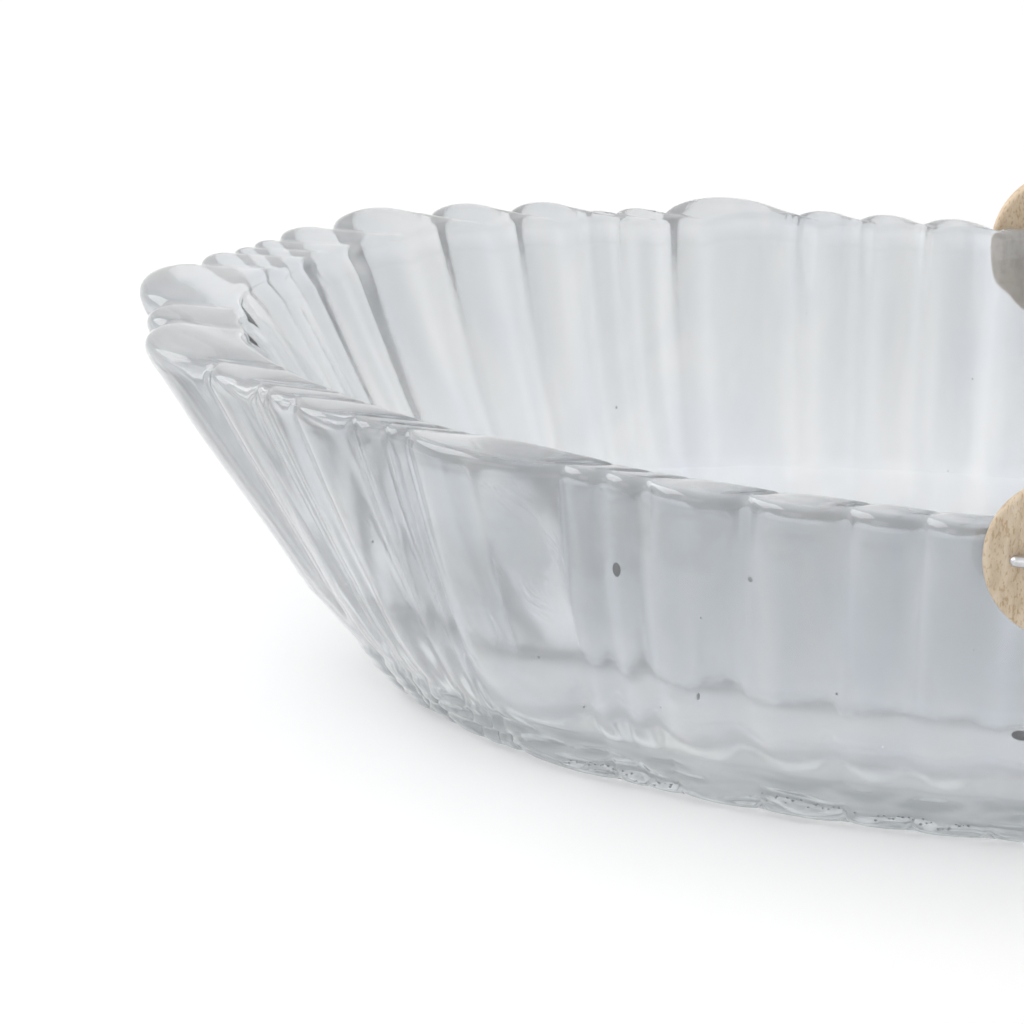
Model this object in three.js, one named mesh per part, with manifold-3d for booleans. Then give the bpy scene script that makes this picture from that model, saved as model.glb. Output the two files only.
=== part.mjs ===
// Oval pleated glass basket with a swinging wire bail, wooden end discs and a wooden grip.
// Millimetres. +X runs along the bowl, +Y to the back and +Z up.
// The origin is on the table, under the middle of the bowl.

import * as THREE from "three";
import { mergeVertices } from "three/addons/utils/BufferGeometryUtils.js";
import Module from "manifold-3d";

// Bowl outline, measured at the grooves between the pleats
const RIM_LENGTH = 299.5;
const RIM_WIDTH = 144;
const RIM_HEIGHT = 59;
const OVAL_POWER = 2.1; // 2 is an ellipse, more is blunter
const FOOT_LENGTH = 207;
const FOOT_WIDTH = 114;
const WALL_FLARE = 0.88; // power of the height by which the wall spreads from foot to rim
const GROOVE_SWEEP = 0.14; // radians by which grooves turn towards the ends on their way down

// Glass thickness
const RIM_END_WALL = 16;
const RIM_SIDE_WALL = 4.6;
const FLOOR_LENGTH = 190;
const FLOOR_WIDTH = 98;
const FLOOR_THICKNESS = 10;
const FLOOR_FILLET = 14;
const LIP_RADIUS = 2.6;
const END_LIP_REACH = 5.5; // inwards, of the lip at the ends
const END_LIP_DROP = 4.5; // downwards, of the lip at the ends
const INNER_LIP_RADIUS = 1.6;
const END_INNER_LIP = 2.2;

// Foot
const FOOT_RADIUS = 1.5;
const FOOT_RING = 9;
const FOOT_RECESS = 1.2;
const FOOT_BAND = 8; // height of the plain band under the pleats
const FOOT_BLEND = 9; // height over which the pleats grow out of the band

// Pleats of half a turn, as widths along the rim, from the front handle round by the -X end
const PLEAT_WIDTHS = [
  22, 14.5, 12.3, 16.4, 16.4, 7, 7.1, 27.3, 4, 6.1, 11.9, 6.2, 2.6, 11.2, 21.5,
  10.3, 22, 8.7, 4.8, 6, 11.1, 18.1, 14.2, 13.2, 5.1, 8.5, 22, 10.7, 10.8, 12.4,
];
const FIRST_PLEAT_SHARE = 0.6; // share of the first pleat on the +X side of the handle
const PLEAT_BULGE = 0.28; // swell of a pleat for each millimetre of its width
const PLEAT_BULGE_MOST = 5.5;
const END_BULGE = 0.25; // the same, at the ends
const PLEAT_RISE = 0.025; // height of a scallop for each millimetre of its width
const QUARTER_RISE = 0.06; // more of it, on two opposite quarters of the rim
const INNER_RISE = 0.05; // the same, on the inner edge
const END_RISE = 0.035; // the same, at the ends
const END_DROOP = 0.7; // by which the rim is lower at the ends
const BAND_SWELL = 0.25; // share of the swell left in the foot band
const WALL_SWELL = 0.5; // share of the swell at the bottom of the pleats
const LOBE_POWER = 0.68; // roundness of a pleat across its width
const END_POWER = 6; // power of the reach along X by which the ends take over from the sides
const SEAT_SWELL = 0.2; // share of the swell left under the end discs
const SEAT_FLAT = 8; // from the handle, along the rim, to the end of that flat
const SEAT_EDGE = 20; // from the handle to where pleats have their full swell

// Bail, discs, sleeves and grip
const PIVOT_DROP = 3.5; // from the rim's groove height down to the pivot
const WIRE_DIAMETER = 2.4;
const WIRE_BEND = 3.2;
const BAIL_CORNER = 14;
const BAIL_HEIGHT = 140; // from the pivot to the middle of the grip
const TAIL_LENGTH = 9.4;
const DISC_DIAMETER = 27.2;
const DISC_THICKNESS = 2.8;
const DISC_EDGE = 0.5;
const SLEEVE_WALL = 0.5;
const GRIP_LENGTH = 72;
const GRIP_DIAMETER = 18;
const GRIP_END_DIAMETER = 13;
const GRIP_EDGE = 1.5;
const GRIP_SHOULDER = 2.5; // straight wire left at each end of the grip

// Clearances
const RUNNING_GAP = 0.25;
const SEAT_GAP = 0.3;

// Facets
const FEWEST_PLEAT_FACETS = 2;
const MOST_PLEAT_FACETS = 8;
const PLEAT_FACET = 2.8; // width of rim for each facet
const WALL_STEPS = 3;
const FILLET_STEPS = 3;
const WIRE_SIDES = 8;
const BEND_STEPS = 4;
const CORNER_STEPS = 6;
const GRIP_STEPS = 8;
const ROUND_SIDES = 24;
const ARC_STEPS = 2000;
const MERGE_TOLERANCE = 1e-4;

const wasm = await Module();
wasm.setup();

const PIVOT_HEIGHT = RIM_HEIGHT - PIVOT_DROP;
const WIRE_RADIUS = WIRE_DIAMETER / 2;
const SLEEVE_BORE = WIRE_RADIUS + RUNNING_GAP;
const SLEEVE_RADIUS = SLEEVE_BORE + SLEEVE_WALL;
const HOLE_RADIUS = SLEEVE_RADIUS + RUNNING_GAP;

const glass = new THREE.MeshStandardMaterial({
  color: 0xdde4e8,
  roughness: 0.05,
  metalness: 0,
  transparent: true,
  opacity: 0.45,
});
const wood = new THREE.MeshStandardMaterial({ color: 0xbfa682, roughness: 0.7, metalness: 0 });
const steel = new THREE.MeshStandardMaterial({ color: 0xc2c2c4, roughness: 0.35, metalness: 1 });
const silicone = new THREE.MeshStandardMaterial({ color: 0xe6e6e2, roughness: 0.5, metalness: 0 });

// Plan of the bowl: an angle of 0 is the front handle, a quarter turn is the -X end

function onOval(length, width, angle) {
  const sine = Math.sin(angle);
  const cosine = Math.cos(angle);
  const sum = Math.pow(Math.abs(sine), OVAL_POWER) + Math.pow(Math.abs(cosine), OVAL_POWER);
  const reach = Math.pow(sum, -1 / OVAL_POWER);
  return new THREE.Vector2((-length / 2) * sine * reach, (-width / 2) * cosine * reach);
}

function outwards(length, width, angle) {
  const slope = (part) => Math.sign(part) * Math.pow(Math.abs(part), OVAL_POWER - 1);
  const sine = slope(Math.sin(angle));
  const cosine = slope(Math.cos(angle));
  return new THREE.Vector2(-sine / length, -cosine / width).normalize();
}

// Angles at which a distance along the rim is reached
function rimRuler() {
  const distance = [0];
  let last = onOval(RIM_LENGTH, RIM_WIDTH, 0);
  for (let i = 1; i <= ARC_STEPS; i++) {
    const next = onOval(RIM_LENGTH, RIM_WIDTH, (2 * Math.PI * i) / ARC_STEPS);
    distance.push(distance[i - 1] + next.distanceTo(last));
    last = next;
  }
  const around = distance[ARC_STEPS];
  const angleAt = (along) => {
    const turns = Math.floor(along / around);
    const rest = along - turns * around;
    const i = Math.min(ARC_STEPS - 1, distance.findLastIndex((d) => d <= rest));
    const part = (rest - distance[i]) / (distance[i + 1] - distance[i]);
    return 2 * Math.PI * (turns + (i + part) / ARC_STEPS);
  };
  return { around, angleAt };
}

// A pleat at an angle: how far it swells out there, and rises at the outer and inner edge
function pleatAt(angle, width, across) {
  const { lerp, smoothstep } = THREE.MathUtils;
  const lobe = Math.pow(1 - across * across, LOBE_POWER);
  const end = Math.pow(Math.abs(Math.sin(angle)), END_POWER);
  const fromHandle = (RIM_LENGTH / 2) * Math.abs(Math.sin(angle));
  const seat = lerp(SEAT_SWELL, 1, smoothstep(fromHandle, SEAT_FLAT, SEAT_EDGE));
  const swell = Math.min(lerp(PLEAT_BULGE, END_BULGE, end) * width, PLEAT_BULGE_MOST);
  const quarter = QUARTER_RISE * Math.max(0, -Math.sin(2 * angle));
  const droop = END_DROOP * end;
  return {
    angle,
    end,
    bulge: swell * seat * lobe,
    rise: lerp(PLEAT_RISE + quarter, END_RISE, end) * width * lobe - droop,
    innerRise: lerp(INNER_RISE, END_RISE, end) * width * lobe - droop,
  };
}

// Stations round the bowl, from the first pleat on
function pleatStations() {
  const { around, angleAt } = rimRuler();
  const listed = PLEAT_WIDTHS.reduce((sum, width) => sum + width, 0);
  const widths = [...PLEAT_WIDTHS, ...PLEAT_WIDTHS].map((width) => (width * around) / (2 * listed));
  const stations = [];
  let start = -FIRST_PLEAT_SHARE * widths[0];
  for (const width of widths) {
    const wanted = 2 * Math.round(width / PLEAT_FACET / 2);
    const facets = THREE.MathUtils.clamp(wanted, FEWEST_PLEAT_FACETS, MOST_PLEAT_FACETS);
    for (let i = 0; i < facets; i++) {
      const angle = angleAt(start + (width * i) / facets);
      stations.push(pleatAt(angle, width, (2 * i) / facets - 1));
    }
    start += width;
  }
  return stations;
}

// How much of a pleat's swell shows at a height
function swellAt(height) {
  const grown = THREE.MathUtils.smoothstep(height, FOOT_BAND, FOOT_BAND + FOOT_BLEND);
  const up = THREE.MathUtils.clamp(height / RIM_HEIGHT, 0, 1);
  return THREE.MathUtils.lerp(BAND_SWELL, THREE.MathUtils.lerp(WALL_SWELL, 1, up * up), grown);
}

function outerPoint(station, height, inset = 0) {
  const reach = Math.pow(THREE.MathUtils.clamp(height / RIM_HEIGHT, 0, 1), WALL_FLARE);
  const length = THREE.MathUtils.lerp(FOOT_LENGTH, RIM_LENGTH, reach);
  const width = THREE.MathUtils.lerp(FOOT_WIDTH, RIM_WIDTH, reach);
  const angle = station.angle + GROOVE_SWEEP * Math.sin(2 * station.angle) * (1 - reach);
  const swell = station.bulge * swellAt(height) - inset;
  const plan = onOval(length, width, angle).addScaledVector(outwards(length, width, angle), swell);
  return new THREE.Vector3(plan.x, plan.y, height);
}

function innerPoint(station, height, inset = 0) {
  const up = (height - FLOOR_THICKNESS) / (RIM_HEIGHT - FLOOR_THICKNESS);
  const reach = Math.pow(THREE.MathUtils.clamp(up, 0, 1), WALL_FLARE);
  const length = THREE.MathUtils.lerp(FLOOR_LENGTH, RIM_LENGTH - 2 * RIM_END_WALL, reach);
  const width = THREE.MathUtils.lerp(FLOOR_WIDTH, RIM_WIDTH - 2 * RIM_SIDE_WALL, reach);
  const angle = station.angle + GROOVE_SWEEP * Math.sin(2 * station.angle) * (1 - reach);
  const plan = onOval(length, width, angle).addScaledVector(outwards(length, width, angle), -inset);
  return new THREE.Vector3(plan.x, plan.y, height);
}

// Section of the bowl at a station, from the middle of the recess round the glass to the floor
function bowlSection(station) {
  const diagonal = 1 - Math.SQRT1_2;
  const top = RIM_HEIGHT + station.rise;
  const innerTop = RIM_HEIGHT + station.innerRise;
  const lipReach = THREE.MathUtils.lerp(LIP_RADIUS, END_LIP_REACH, station.end);
  const lipDrop = THREE.MathUtils.lerp(LIP_RADIUS, END_LIP_DROP, station.end);
  const innerLip = THREE.MathUtils.lerp(INNER_LIP_RADIUS, END_INNER_LIP, station.end);
  const points = [];
  points.push(outerPoint(station, 0, FOOT_RING + 2 * FOOT_RECESS).setZ(FOOT_RECESS));
  points.push(outerPoint(station, 0, FOOT_RING));
  points.push(outerPoint(station, 0, FOOT_RADIUS));
  points.push(outerPoint(station, FOOT_RADIUS));
  points.push(outerPoint(station, FOOT_BAND));
  const wallTop = top - lipDrop;
  const wallFoot = FOOT_BAND + FOOT_BLEND;
  for (let i = 0; i <= WALL_STEPS; i++) {
    points.push(outerPoint(station, THREE.MathUtils.lerp(wallFoot, wallTop, i / WALL_STEPS)));
  }
  points.push(outerPoint(station, top - lipDrop * diagonal, lipReach * diagonal));
  points.push(outerPoint(station, top, lipReach));
  points.push(innerPoint(station, innerTop, -innerLip));
  const wallInner = innerTop - innerLip;
  const filletTop = FLOOR_THICKNESS + FLOOR_FILLET;
  for (let i = 0; i <= WALL_STEPS; i++) {
    points.push(innerPoint(station, THREE.MathUtils.lerp(wallInner, filletTop, i / WALL_STEPS)));
  }
  for (let i = 1; i <= FILLET_STEPS; i++) {
    const turn = ((Math.PI / 2) * i) / FILLET_STEPS;
    const inset = FLOOR_FILLET * (1 - Math.cos(turn));
    points.push(innerPoint(station, filletTop - FLOOR_FILLET * Math.sin(turn), inset));
  }
  return points;
}

// Closed skin over sections that run clockwise seen from above, with a middle point under and over them
function skinOver(sections, underside, floor) {
  const rings = sections[0].length;
  const around = sections.length;
  const vertices = [underside, ...sections.flat(), floor];
  const at = (section, ring) => 1 + (section % around) * rings + ring;
  const faces = [];
  for (let i = 0; i < around; i++) {
    faces.push(0, at(i, 0), at(i + 1, 0));
    for (let j = 0; j + 1 < rings; j++) {
      faces.push(at(i, j), at(i + 1, j + 1), at(i + 1, j));
      faces.push(at(i, j), at(i, j + 1), at(i + 1, j + 1));
    }
    faces.push(at(i, rings - 1), vertices.length - 1, at(i + 1, rings - 1));
  }
  const geometry = new THREE.BufferGeometry().setFromPoints(vertices);
  geometry.setIndex(faces);
  return geometry;
}

function toSolid(geometry) {
  const bare = geometry.clone();
  bare.deleteAttribute("normal");
  bare.deleteAttribute("uv");
  const merged = mergeVertices(bare, MERGE_TOLERANCE);
  const vertProperties = new Float32Array(merged.attributes.position.array);
  const triVerts = new Uint32Array(merged.index.array);
  return new wasm.Manifold(new wasm.Mesh({ numProp: 3, vertProperties, triVerts }));
}

function toGeometry(solid) {
  const mesh = solid.getMesh();
  const geometry = new THREE.BufferGeometry();
  geometry.setAttribute("position", new THREE.BufferAttribute(mesh.vertProperties, 3));
  geometry.setIndex(new THREE.BufferAttribute(mesh.triVerts, 1));
  geometry.computeVertexNormals();
  return geometry;
}

const stations = pleatStations();

function glassBowl() {
  const sections = stations.map(bowlSection);
  const underside = new THREE.Vector3(0, 0, FOOT_RECESS);
  const floor = new THREE.Vector3(0, 0, FLOOR_THICKNESS);
  const body = toSolid(skinOver(sections, underside, floor));
  const drill = new THREE.CylinderGeometry(HOLE_RADIUS, HOLE_RADIUS, 2 * RIM_WIDTH, ROUND_SIDES);
  drill.translate(0, 0, PIVOT_HEIGHT);
  return toGeometry(body.subtract(toSolid(drill)));
}

// Places along the handle's pivot line, as distances from the middle of the bowl
const handleStation = stations.find((station) => station.angle > 0);
const wallInside = -innerPoint(handleStation, PIVOT_HEIGHT).y;
const wallOutside = -outerPoint(handleStation, PIVOT_HEIGHT).y;
const rimPoints = stations.map((station) => outerPoint(station, RIM_HEIGHT));
const underDisc = rimPoints.filter((point) => Math.abs(point.x) < DISC_DIAMETER / 2);
const discBack = Math.max(...underDisc.map((point) => -point.y)) + SEAT_GAP;
const discFace = discBack + DISC_THICKNESS;
const tailBend = WIRE_RADIUS + SEAT_GAP;
const tailPlane = discFace + tailBend;
const legFoot = wallInside - WIRE_BEND - SEAT_GAP;
const gripHeight = PIVOT_HEIGHT + BAIL_HEIGHT;
const bailShoulder = GRIP_LENGTH / 2 + GRIP_SHOULDER + BAIL_CORNER;

// A ring turned about the pivot line, from a closed profile of (radius, place) pairs
function turned(profile) {
  const points = profile.map(([radius, place]) => new THREE.Vector2(radius, place));
  return new THREE.LatheGeometry([...points, points[0].clone()], ROUND_SIDES);
}

function endDisc() {
  const radius = DISC_DIAMETER / 2;
  return turned([
    [SLEEVE_BORE, -discFace],
    [radius - DISC_EDGE, -discFace],
    [radius, -discFace + DISC_EDGE],
    [radius, -discBack - DISC_EDGE],
    [radius - DISC_EDGE, -discBack],
    [SLEEVE_BORE, -discBack],
  ]);
}

function holeSleeve() {
  return turned([
    [SLEEVE_BORE, -wallOutside],
    [SLEEVE_RADIUS, -wallOutside],
    [SLEEVE_RADIUS, -wallInside],
    [SLEEVE_BORE, -wallInside],
  ]);
}

function handleGrip() {
  const half = GRIP_LENGTH / 2;
  const profile = [[SLEEVE_BORE, -half], [GRIP_END_DIAMETER / 2 - GRIP_EDGE, -half]];
  for (let i = 0; i <= GRIP_STEPS; i++) {
    const place = THREE.MathUtils.lerp(-half + GRIP_EDGE, half - GRIP_EDGE, i / GRIP_STEPS);
    const belly = Math.cos((Math.PI / 2) * (place / half));
    profile.push([THREE.MathUtils.lerp(GRIP_END_DIAMETER, GRIP_DIAMETER, belly) / 2, place]);
  }
  profile.push([GRIP_END_DIAMETER / 2 - GRIP_EDGE, half], [SLEEVE_BORE, half]);
  return turned(profile);
}

// A path whose steps fall on given points
class WirePath extends THREE.Curve {
  constructor(points) {
    super();
    this.points = points;
  }
  getPoint(t, target = new THREE.Vector3()) {
    const place = t * (this.points.length - 1);
    const i = Math.min(this.points.length - 2, Math.floor(place));
    return target.lerpVectors(this.points[i], this.points[i + 1], place - i);
  }
  getPointAt(u, target) {
    return this.getPoint(u, target);
  }
  getTangentAt(u, target = new THREE.Vector3()) {
    const i = Math.round(u * (this.points.length - 1));
    const before = this.points[Math.max(0, i - 1)];
    const after = this.points[Math.min(this.points.length - 1, i + 1)];
    return target.subVectors(after, before).normalize();
  }
}

// Points of the round bend at a corner between two straight runs
function bendPoints(before, corner, after, radius, steps) {
  const back = new THREE.Vector3().subVectors(before, corner).normalize();
  const on = new THREE.Vector3().subVectors(after, corner).normalize();
  const half = back.angleTo(on) / 2;
  const start = corner.clone().addScaledVector(back, radius / Math.tan(half));
  const end = corner.clone().addScaledVector(on, radius / Math.tan(half));
  const middle = back.clone().add(on).normalize();
  const centre = corner.clone().addScaledVector(middle, radius / Math.sin(half));
  const first = start.clone().sub(centre);
  const axis = first.clone().cross(end.clone().sub(centre)).normalize();
  const sweep = Math.PI - 2 * half;
  return Array.from({ length: steps + 1 }, (_, i) =>
    first.clone().applyAxisAngle(axis, (sweep * i) / steps).add(centre),
  );
}

// Half the wire, from the clinched tail on the front disc to the middle of the grip
function halfWire() {
  const tip = new THREE.Vector3(-TAIL_LENGTH, -tailPlane, PIVOT_HEIGHT);
  const exit = new THREE.Vector3(0, -tailPlane, PIVOT_HEIGHT);
  const foot = new THREE.Vector3(0, -legFoot, PIVOT_HEIGHT);
  const shoulder = new THREE.Vector3(0, -bailShoulder, gripHeight);
  const middle = new THREE.Vector3(0, 0, gripHeight);
  return [
    tip,
    ...bendPoints(tip, exit, foot, tailBend, BEND_STEPS),
    ...bendPoints(exit, foot, shoulder, WIRE_BEND, BEND_STEPS),
    ...bendPoints(foot, shoulder, middle, BAIL_CORNER, CORNER_STEPS),
  ];
}

function bailWire() {
  const front = halfWire();
  const back = front.map((point) => new THREE.Vector3(-point.x, -point.y, point.z)).reverse();
  const points = [...front, ...back];
  const section = new THREE.Shape();
  section.absarc(0, 0, WIRE_RADIUS, 0, 2 * Math.PI);
  return new THREE.ExtrudeGeometry(section, {
    steps: points.length - 1,
    curveSegments: WIRE_SIDES,
    extrudePath: new WirePath(points),
  });
}

function named(name, geometry, material) {
  const mesh = new THREE.Mesh(geometry, material);
  mesh.name = name;
  return mesh;
}

const basket = new THREE.Group();
basket.add(named("glass_bowl", glassBowl(), glass));

// The back of the handle is the front turned half round
const sides = [["front", 0], ["rear", Math.PI]];
for (const [side, turn] of sides) {
  const ends = new THREE.Group();
  ends.rotation.z = turn;
  for (const [name, geometry, material] of [
    ["hole_sleeve", holeSleeve(), silicone],
    ["end_disc", endDisc(), wood],
  ]) {
    const mesh = named(`${side}_${name}`, geometry, material);
    mesh.position.z = PIVOT_HEIGHT;
    ends.add(mesh);
  }
  basket.add(ends);
}

basket.add(named("bail_wire", bailWire(), steel));
const grip = named("handle_grip", handleGrip(), wood);
grip.position.z = gripHeight;
basket.add(grip);

export default basket;
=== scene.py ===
"""Oval pleated glass basket with wooden end discs and a wire bail: its looks, round the solids."""

import math
import random

import bmesh
import bpy
import numpy as np
from mathutils import Matrix, Vector, noise


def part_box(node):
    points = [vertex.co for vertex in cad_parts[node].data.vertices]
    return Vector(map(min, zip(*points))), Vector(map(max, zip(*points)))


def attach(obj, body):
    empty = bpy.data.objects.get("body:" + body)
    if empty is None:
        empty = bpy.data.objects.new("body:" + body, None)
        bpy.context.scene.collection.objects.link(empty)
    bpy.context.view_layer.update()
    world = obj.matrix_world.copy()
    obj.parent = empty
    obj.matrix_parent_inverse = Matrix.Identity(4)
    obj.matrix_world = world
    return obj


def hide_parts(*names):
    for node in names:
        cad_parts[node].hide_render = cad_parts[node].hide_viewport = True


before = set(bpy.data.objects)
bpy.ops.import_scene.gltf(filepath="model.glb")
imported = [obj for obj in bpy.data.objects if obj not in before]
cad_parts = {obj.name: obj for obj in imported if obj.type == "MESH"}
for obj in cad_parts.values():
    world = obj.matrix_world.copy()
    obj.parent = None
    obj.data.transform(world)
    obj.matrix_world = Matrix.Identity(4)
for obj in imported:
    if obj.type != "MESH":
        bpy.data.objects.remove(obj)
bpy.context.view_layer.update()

MM = 0.001
QUARTER_TURN = math.pi / 2
FULL_TURN = 2 * math.pi

# Bowl outline, in millimetres, as in the solids
RIM_LENGTH = 299.5
RIM_WIDTH = 144.0
RIM_HEIGHT = 59.0
OVAL_POWER = 2.1
FOOT_LENGTH = 207.0
FOOT_WIDTH = 114.0
WALL_FLARE = 0.88
GROOVE_SWEEP = 0.14
RIM_END_WALL = 16.0
RIM_SIDE_WALL = 4.6
FLOOR_LENGTH = 190.0
FLOOR_WIDTH = 98.0
FLOOR_THICKNESS = 10.0
FLOOR_FILLET = 14.0
FILLET_TOP = FLOOR_THICKNESS + FLOOR_FILLET
LIP_RADIUS = 2.6
END_LIP_REACH = 5.5
END_LIP_DROP = 4.5
INNER_LIP_RADIUS = 1.6
END_INNER_LIP = 2.2
FOOT_RADIUS = 1.5
FOOT_RING = 9.0
FOOT_RECESS = 1.2
FOOT_BAND = 8.0
PLEAT_WIDTHS = (
    22, 14.5, 12.3, 16.4, 16.4, 7, 7.1, 27.3, 4, 6.1, 11.9, 6.2, 2.6, 11.2, 21.5,
    10.3, 22, 8.7, 4.8, 6, 11.1, 18.1, 14.2, 13.2, 5.1, 8.5, 22, 10.7, 10.8, 12.4,
)
FIRST_PLEAT_SHARE = 0.6
PLEAT_BULGE = 0.28
PLEAT_BULGE_MOST = 5.5
END_BULGE = 0.25
PLEAT_RISE = 0.025
QUARTER_RISE = 0.06
INNER_RISE = 0.05
END_RISE = 0.035
END_DROOP = 0.7
BAND_SWELL = 0.25
WALL_SWELL = 0.5
END_POWER = 6
SEAT_SWELL = 0.2
SEAT_FLAT = 8.0
SEAT_EDGE = 20.0

# Roundness of a pleat across its width, on the wall and at the rim, and of the grooves between
# pleats. The rim's roundness takes over from a share of the height
WALL_POWER = 0.62
RIM_POWER = 0.68
RIM_SHAPE_FROM = 0.55
RIM_ROUNDS = 1
WALL_ROUNDS = 3
PLEAT_END_SHARE = 0.6
PLEAT_END_MOST = 14.0
PLEAT_END_SOFTNESS = 0.8
INNER_SWELL = 0.3
INNER_FLUTE = 0.14
INNER_SWELL_HEIGHT = 13.0

# Fineness of the bowl's mesh: stations round it, and rings over each run of its section
ARC_STEPS = 4000
STATION_STEP = 1.0
FEWEST_FACETS = 8
FINE_TOP = 12.0
COARSE_TOP = 24.0
RECESS_RINGS, SLOPE_RINGS, SOLE_RINGS = 6, 4, 5
FOOT_EDGE_RINGS, FOOT_BAND_RINGS = 5, 12
FINE_RINGS, COARSE_RINGS, HIGH_RINGS = 6, 9, 13
LIP_RINGS, TOP_RINGS, INNER_LIP_RINGS = 8, 6, 7
INSIDE_RINGS, FILLET_RINGS, FLOOR_RINGS = 15, 10, 12
# First and last ring of the flat middles, as shares of the way to their edge
RECESS_SHARES = (0.06, 0.97)
FLOOR_SHARES = (0.95, 0.06)
# From the slope of the recess to the first ring on the sole
SOLE_STEP = 1.5
DRILL_SIDES = 32

# Waves in the glass, in millimetres: size and depth
LONG_WAVE, LONG_DEPTH, LONG_SEED = 24.0, 0.28, 3.7
SHORT_WAVE, SHORT_DEPTH, SHORT_SEED = 8.0, 0.07, 11.3
WAVES_FROM = 4.0
# Folds in the band at the foot, and the heights between which they start and stop
FOLD_LENGTH, FOLD_HEIGHT, FOLD_DEPTH, FOLD_SEED = 12.0, 2.2, 0.55, 5.9
FOLD_START = (0.1, 1.5)
FOLD_STOP = (FOOT_BAND - 1.5, FOOT_BAND + 1)
# Wisps low in the wall, round a middle height
WISP_LENGTH, WISP_HEIGHT, WISP_DEPTH, WISP_SEED = 12.0, 2.6, 0.2, 8.3
WISP_MIDDLE, WISP_SPREAD = 19.0, 5.0
# Lift of the lower edge in the grooves
NOTCH_LIFT = 0.9
NOTCH_POWER = 3
# From the pivot to where the waves start, and to where they have their full depth
CLEAR_OF_PIVOT = (10.0, 18.0)
SHORTEST_NORMAL = 1e-9

# Handle, in millimetres, as in the solids
PIVOT_HEIGHT = 55.5
WIRE_RADIUS = 1.2
BORE_RADIUS = 1.45
HOLE_RADIUS = 2.2
WIRE_BEND = 3.2
BAIL_CORNER = 14.0
TAIL_LENGTH = 9.4
SEAT_GAP = 0.3
GRIP_SHOULDER = 2.5
GRIP_END_RADIUS = 6.5
GRIP_EDGE = 1.5

# Finer shapes of the handle's pieces
TAIL_FLATNESS = 0.8
DISC_EDGE = 0.8
DISC_DISH = 0.12
DISC_DISH_SHARE = 0.6
DISC_FLAT_INSET = 3 * DISC_EDGE
SLEEVE_EDGE = 0.2
EDGE_POINTS = 7
DISC_SIDES, SLEEVE_SIDES, GRIP_SIDES, WIRE_SIDES = 72, 40, 64, 20
GRIP_RINGS = 33
TAIL_RINGS = 6
TAIL_BEND_STEPS, WALL_BEND_STEPS, CORNER_STEPS = 8, 10, 20


def lerp(a, b, t):
    return a + (b - a) * t


def smoothstep(x, low, high):
    t = np.clip((x - low) / (high - low), 0, 1)
    return t * t * (3 - 2 * t)


def beyond(first, last, count):
    """Evenly spaced values up to the last one, without the first one."""
    return np.linspace(first, last, count + 1)[1:]


def circle(sides):
    return np.arange(sides) * FULL_TURN / sides


def ripple(points, size, seed):
    """Smooth noise at points, from about -1 to 1, with waves of a size along each axis."""
    places = points / np.asarray(size, float) + seed
    return np.array([noise.noise(Vector(p)) for p in places])


def ridges(points, length, height, seed):
    """Lying ridges at points, from about -1 between them to 1 on a crest."""
    return 1 - 2 * np.abs(ripple(points, (length, length, height), seed))


def make_mesh(name, points, faces):
    mesh = bpy.data.meshes.new(name)
    mesh.from_pydata([tuple(p) for p in points], [], faces)
    mesh.validate()
    mesh.shade_smooth()
    return mesh


def make_object(name, mesh, *materials):
    for material in materials:
        mesh.materials.append(material)
    obj = bpy.data.objects.new(name, mesh)
    bpy.context.scene.collection.objects.link(obj)
    return obj


def ring_faces(rings, around):
    """Faces over rings of points, closed by a first and a last middle point."""
    last = 1 + rings * around
    faces = []
    for i in range(around):
        k = (i + 1) % around
        faces.append((0, 1 + i, 1 + k))
        for j in range(rings - 1):
            a, b = 1 + j * around, 1 + (j + 1) * around
            faces.append((a + i, b + i, b + k, a + k))
        top = 1 + (rings - 1) * around
        faces.append((top + i, last, top + k))
    return faces


# Bowl

def on_oval(length, width, angle):
    sine, cosine = np.sin(angle), np.cos(angle)
    reach = (np.abs(sine) ** OVAL_POWER + np.abs(cosine) ** OVAL_POWER) ** (-1 / OVAL_POWER)
    return np.stack([-length / 2 * sine * reach, -width / 2 * cosine * reach], -1)


def outwards(length, width, angle):
    sine, cosine = np.sin(angle), np.cos(angle)
    along = np.sign(sine) * np.abs(sine) ** (OVAL_POWER - 1) / length
    sideways = np.sign(cosine) * np.abs(cosine) ** (OVAL_POWER - 1) / width
    normal = np.stack([-along, -sideways], -1)
    return normal / np.linalg.norm(normal, axis=-1, keepdims=True)


def swept(angle, reach):
    """The angle of a groove where the wall has a share of its spread."""
    return angle + GROOVE_SWEEP * np.sin(2 * angle) * (1 - reach)


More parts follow.
